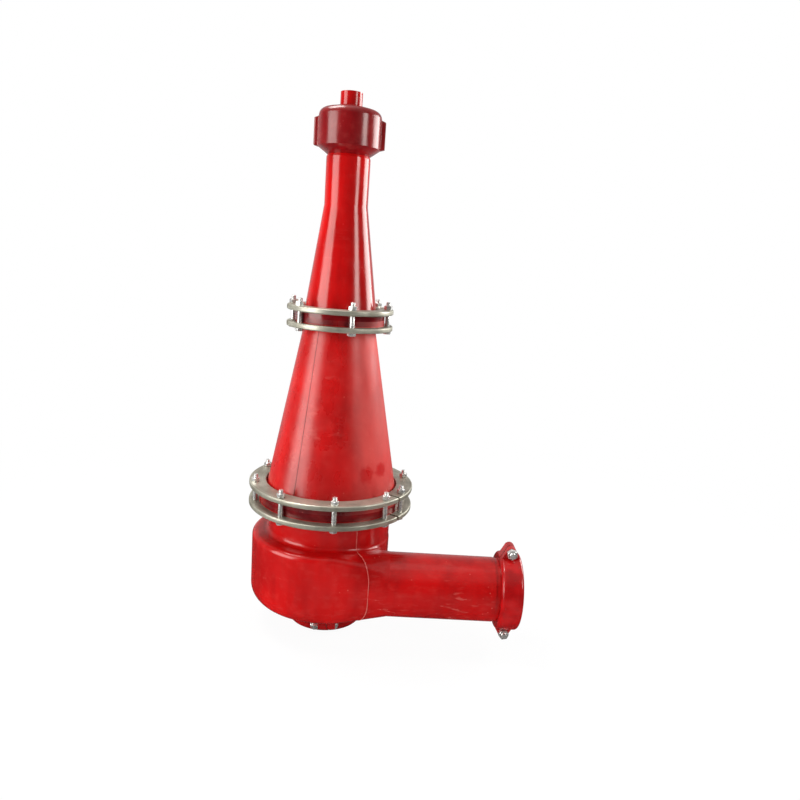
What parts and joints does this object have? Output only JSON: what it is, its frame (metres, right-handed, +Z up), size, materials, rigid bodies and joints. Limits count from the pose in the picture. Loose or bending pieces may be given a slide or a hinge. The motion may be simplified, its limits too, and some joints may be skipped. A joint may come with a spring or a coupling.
{
  "type": "hydrocyclone",
  "caption": "Moulded hydrocyclone standing on its overflow end: scroll feed chamber with side inlet, two bolted cones and a ribbed spigot nut.",
  "frame": {"origin": "on the cyclone's axis, at the free end face of the overflow coupling that it stands on", "axes": "+Z up the cyclone's axis to the spigot, +X along the feed pipe to its coupling, -Y to the side that the picture shows"},
  "size_m": [0.736, 0.4535, 1.394],
  "materials": {
    "moulded_red": "glossy moulded polyurethane, bright red, with fine scuffs",
    "nut_red": "glossy moulded plastic, dark red",
    "ring_steel": "brushed stainless plate",
    "bolt_steel": "bright plated steel",
    "coupling_paint": "red paint on cast iron",
    "gasket_rubber": "matt black rubber"
  },
  "bodies": {
    "root": {"feed_chamber": "moulded_red", "vortex_finder": "moulded_red", "upper_cone": "moulded_red", "lower_cone": "moulded_red", "spigot_insert": "moulded_red", "spigot_nut": "nut_red", "large_ring_lower_front": "ring_steel", "large_ring_lower_rear": "ring_steel", "large_ring_upper_front": "ring_steel", "large_ring_upper_rear": "ring_steel", "large_ring_bolts": "bolt_steel", "large_ring_nuts": "bolt_steel", "small_ring_lower_front": "ring_steel", "small_ring_lower_rear": "ring_steel", "small_ring_upper_front": "ring_steel", "small_ring_upper_rear": "ring_steel", "small_ring_bolts": "bolt_steel", "small_ring_nuts": "bolt_steel", "feed_coupling_front": "coupling_paint", "feed_coupling_rear": "coupling_paint", "feed_coupling_gasket": "gasket_rubber", "feed_coupling_bolts": "bolt_steel", "feed_coupling_nuts": "bolt_steel", "overflow_coupling_left": "coupling_paint", "overflow_coupling_right": "coupling_paint", "overflow_coupling_gasket": "gasket_rubber", "overflow_coupling_bolts": "bolt_steel", "overflow_coupling_nuts": "bolt_steel"}
  },
  "joints": []
}
